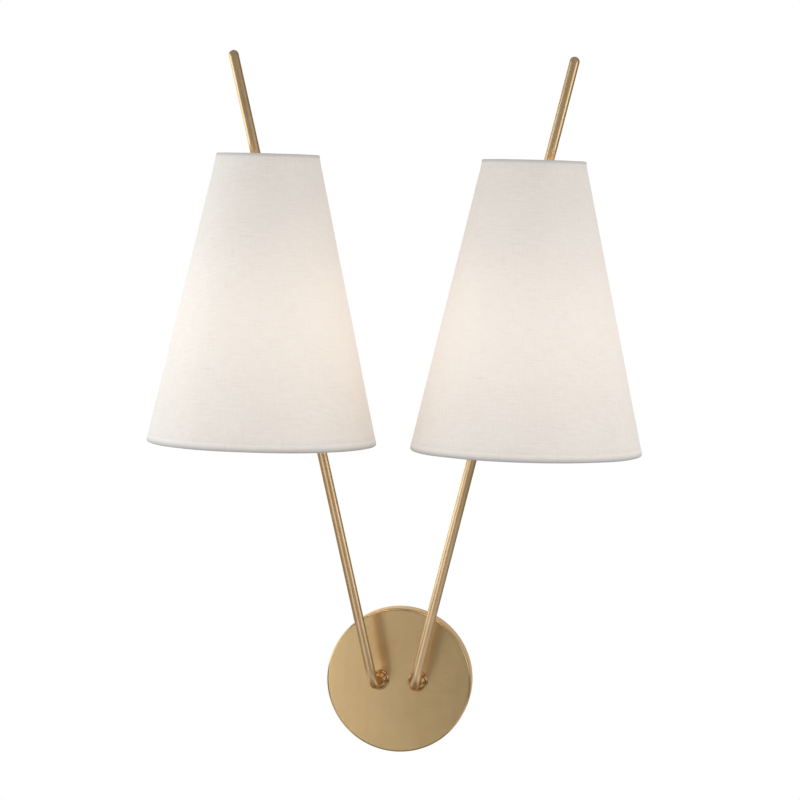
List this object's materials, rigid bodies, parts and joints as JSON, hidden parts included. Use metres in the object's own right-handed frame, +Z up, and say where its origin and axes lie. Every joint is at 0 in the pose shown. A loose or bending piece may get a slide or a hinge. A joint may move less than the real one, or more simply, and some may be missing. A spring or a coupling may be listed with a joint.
{
  "type": "double arm wall sconce",
  "caption": "Hard-wired wall light: round canopy with two bent brass arms that swivel, each passing through a linen cone shade with a screw-in candle lamp.",
  "frame": {"origin": "centre of the canopy's back face, on the wall", "axes": "+Z up, +X to the right seen from the room, +Y into the wall; the light stands out along -Y"},
  "size_m": [0.396, 0.191, 0.573],
  "materials": {
    "satin_brass": "satin, lightly brushed",
    "zinc_steel": "zinc plated",
    "green_steel": "green passivated",
    "white_nylon": "moulded",
    "black_insulation": "matt",
    "white_insulation": "matt",
    "green_insulation": "matt",
    "red_fibre": "matt",
    "black_phenolic": "moulded, semi-matt",
    "contact_brass": "bright",
    "linen": "natural weave",
    "white_lining": "smooth, lets light through",
    "white_wire": "white lacquer",
    "frosted_glass": "frosted",
    "filament": "glowing"
  },
  "bodies": {
    "wall_plate": {"back_plate": "satin_brass", "mounting_plate": "zinc_steel", "rim_lugs": "zinc_steel", "rim_screws": "zinc_steel", "ground_screw": "green_steel", "terminal_block": "white_nylon", "terminal_screws": "zinc_steel", "live_leads": "black_insulation", "neutral_leads": "white_insulation", "ground_lead": "green_insulation"},
    "left_arm": {"left_arm_tube": "satin_brass", "left_threaded_nipple": "satin_brass", "left_collar": "satin_brass", "left_swivel_washer": "red_fibre", "left_locknut": "zinc_steel", "left_tip_cap": "satin_brass", "left_arm_sleeve": "satin_brass", "left_cross_tube": "satin_brass", "left_holder_block": "satin_brass", "left_holder_nipple": "zinc_steel", "left_holder_cup": "satin_brass", "left_holder_body": "black_phenolic", "left_screw_shell": "contact_brass", "left_centre_contact": "contact_brass", "left_arm_cable": "white_insulation"},
    "left_shade": {"left_shade_cover": "linen", "left_shade_liner": "white_lining", "left_shade_hems": "linen", "left_top_ring": "white_wire", "left_bottom_frame": "white_wire"},
    "left_ring": {"left_retaining_ring": "black_phenolic"},
    "left_bulb": {"left_bulb_glass": "frosted_glass", "left_bulb_cap": "contact_brass", "left_bulb_contact": "contact_brass", "left_bulb_filaments": "filament"},
    "right_arm": {"right_arm_tube": "satin_brass", "right_threaded_nipple": "satin_brass", "right_collar": "satin_brass", "right_swivel_washer": "red_fibre", "right_locknut": "zinc_steel", "right_tip_cap": "satin_brass", "right_arm_sleeve": "satin_brass", "right_cross_tube": "satin_brass", "right_holder_block": "satin_brass", "right_holder_nipple": "zinc_steel", "right_holder_cup": "satin_brass", "right_holder_body": "black_phenolic", "right_screw_shell": "contact_brass", "right_centre_contact": "contact_brass", "right_arm_cable": "white_insulation"},
    "right_shade": {"right_shade_cover": "linen", "right_shade_liner": "white_lining", "right_shade_hems": "linen", "right_top_ring": "white_wire", "right_bottom_frame": "white_wire"},
    "right_ring": {"right_retaining_ring": "black_phenolic"},
    "right_bulb": {"right_bulb_glass": "frosted_glass", "right_bulb_cap": "contact_brass", "right_bulb_contact": "contact_brass", "right_bulb_filaments": "filament"}
  },
  "joints": [
    {"name": "left_arm_swivel", "type": "hinge", "parent": "wall_plate", "child": "left_arm", "pos_m": [-0.016, -0.018, 0], "axis": [0, -1, 0], "range_deg": [-3, 20]},
    {"name": "left_shade_turn", "type": "hinge", "parent": "left_arm", "child": "left_shade", "pos_m": [-0.106, -0.099, 0.2425], "axis": [0, 0, 1], "range_deg": [-45, 45]},
    {"name": "left_ring_turn", "type": "hinge", "parent": "left_arm", "child": "left_ring", "pos_m": [-0.106, -0.099, 0.247], "axis": [0, 0, 1], "range_deg": [0, 720]},
    {"name": "left_bulb_turn", "type": "hinge", "parent": "left_arm", "child": "left_bulb", "pos_m": [-0.106, -0.099, 0.25], "axis": [0, 0, 1], "range_deg": [0, 1080]},
    {"name": "right_arm_swivel", "type": "hinge", "parent": "wall_plate", "child": "right_arm", "pos_m": [0.016, -0.018, 0], "axis": [0, 1, 0], "range_deg": [-3, 20]},
    {"name": "right_shade_turn", "type": "hinge", "parent": "right_arm", "child": "right_shade", "pos_m": [0.106, -0.099, 0.2425], "axis": [0, 0, 1], "range_deg": [-45, 45]},
    {"name": "right_ring_turn", "type": "hinge", "parent": "right_arm", "child": "right_ring", "pos_m": [0.106, -0.099, 0.247], "axis": [0, 0, 1], "range_deg": [0, 720]},
    {"name": "right_bulb_turn", "type": "hinge", "parent": "right_arm", "child": "right_bulb", "pos_m": [0.106, -0.099, 0.25], "axis": [0, 0, 1], "range_deg": [0, 1080]}
  ]
}
